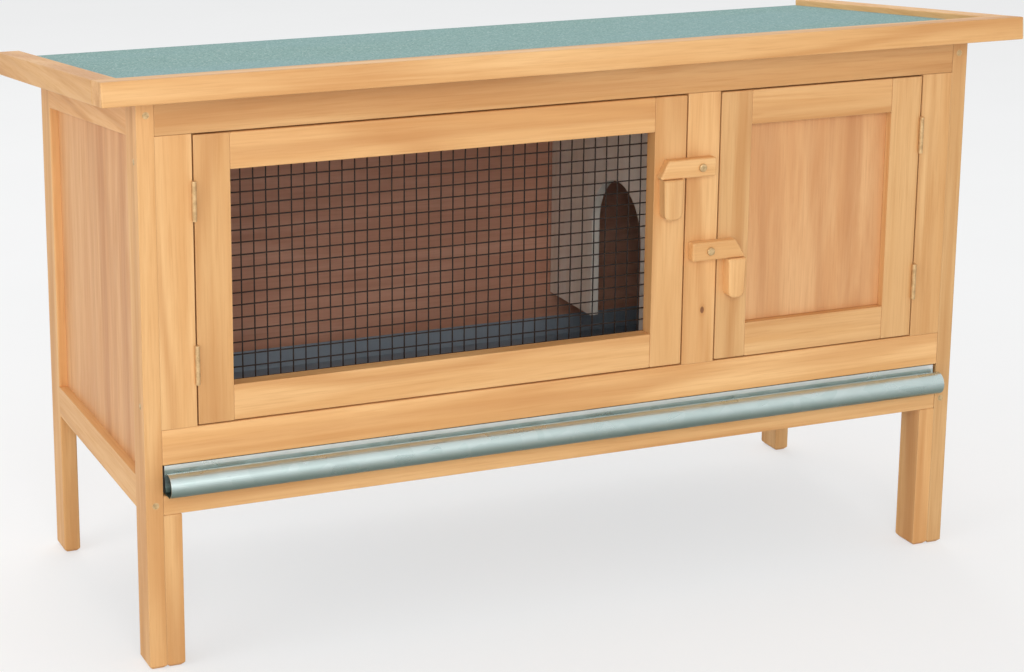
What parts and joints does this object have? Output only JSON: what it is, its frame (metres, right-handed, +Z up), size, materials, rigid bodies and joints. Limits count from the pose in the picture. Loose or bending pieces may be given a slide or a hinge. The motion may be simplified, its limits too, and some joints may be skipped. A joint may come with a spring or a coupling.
{
  "type": "rabbit hutch",
  "caption": "Single-tier wooden rabbit hutch on legs with a wire door, a solid door, turn-button latches, a felt roof and a pull-out steel tray.",
  "frame": {"origin": "on the ground, under the middle of the roof", "axes": "+Z up, +X to the right along the front, the doors face -Y"},
  "size_m": [0.972, 0.416, 0.581],
  "materials": {
    "fir": "honey-stained softwood",
    "plywood": "stained plywood",
    "felt": "green mineral roofing felt",
    "galvanised": "galvanised sheet",
    "wire": "black coated wire",
    "hinge_steel": "yellow-plated steel",
    "screw_steel": "plated steel"
  },
  "bodies": {
    "carcass": {"back_bottom_rail": "fir", "back_centre_stile": "fir", "back_panel": "plywood", "back_top_rail": "fir", "divider_cleat_back": "fir", "divider_cleat_front": "fir", "divider_panel": "plywood", "frame_hinge_screws": "screw_steel", "frame_screws": "screw_steel", "front_apron": "fir", "front_bottom_rail": "fir", "front_header": "fir", "front_stile_left": "fir", "front_stile_right": "fir", "hinge_pins": "hinge_steel", "leg_block_left": "fir", "leg_block_right": "fir", "mesh_door_hinge_frame_leaves": "hinge_steel", "mullion": "fir", "post_back_left": "fir", "post_back_right": "fir", "post_front_left": "fir", "post_front_right": "fir", "roof_battens": "fir", "roof_deck": "plywood", "roof_felt": "felt", "roof_trim_front": "fir", "roof_trim_left": "fir", "roof_trim_right": "fir", "side_bottom_rail_left": "fir", "side_bottom_rail_right": "fir", "side_panel_left": "plywood", "side_panel_right": "plywood", "side_top_rail_left": "fir", "side_top_rail_right": "fir", "solid_door_hinge_frame_leaves": "hinge_steel", "tray_runner_centre": "fir", "tray_runner_left": "fir", "tray_runner_right": "fir", "turn_button_screws": "screw_steel"},
    "mesh_door": {"mesh_door_bottom_rail": "fir", "mesh_door_handle": "fir", "mesh_door_hinge_leaves": "hinge_steel", "mesh_door_hinge_screws": "screw_steel", "mesh_door_hinge_stile": "fir", "mesh_door_latch_stile": "fir", "mesh_door_staples": "wire", "mesh_door_top_rail": "fir", "mesh_door_wire_net": "wire"},
    "solid_door": {"solid_door_bottom_rail": "fir", "solid_door_handle": "fir", "solid_door_hinge_leaves": "hinge_steel", "solid_door_hinge_screws": "screw_steel", "solid_door_hinge_stile": "fir", "solid_door_latch_stile": "fir", "solid_door_panel": "plywood", "solid_door_top_rail": "fir"},
    "tray": {"tray_pan": "galvanised"},
    "upper_button": {"turn_button_upper": "fir"},
    "lower_button": {"turn_button_lower": "fir"}
  },
  "joints": [
    {"name": "mesh_door_swing", "type": "hinge", "parent": "carcass", "child": "mesh_door", "pos_m": [-0.39225, -0.1716, 0.38], "axis": [0, 0, -1], "range_deg": [0, 110]},
    {"name": "solid_door_swing", "type": "hinge", "parent": "carcass", "child": "solid_door", "pos_m": [0.39225, -0.1716, 0.38], "axis": [0, 0, 1], "range_deg": [0, 110]},
    {"name": "upper_button_turn", "type": "hinge", "parent": "carcass", "child": "upper_button", "pos_m": [0.132, -0.174, 0.4465], "axis": [0, 1, 0], "range_deg": [0, 90]},
    {"name": "lower_button_turn", "type": "hinge", "parent": "carcass", "child": "lower_button", "pos_m": [0.144, -0.174, 0.3592], "axis": [0, -1, 0], "range_deg": [0, 90]},
    {"name": "tray_slide", "type": "slide", "parent": "carcass", "child": "tray", "axis": [0, -1, 0], "range_m": [0, 0.3]}
  ]
}
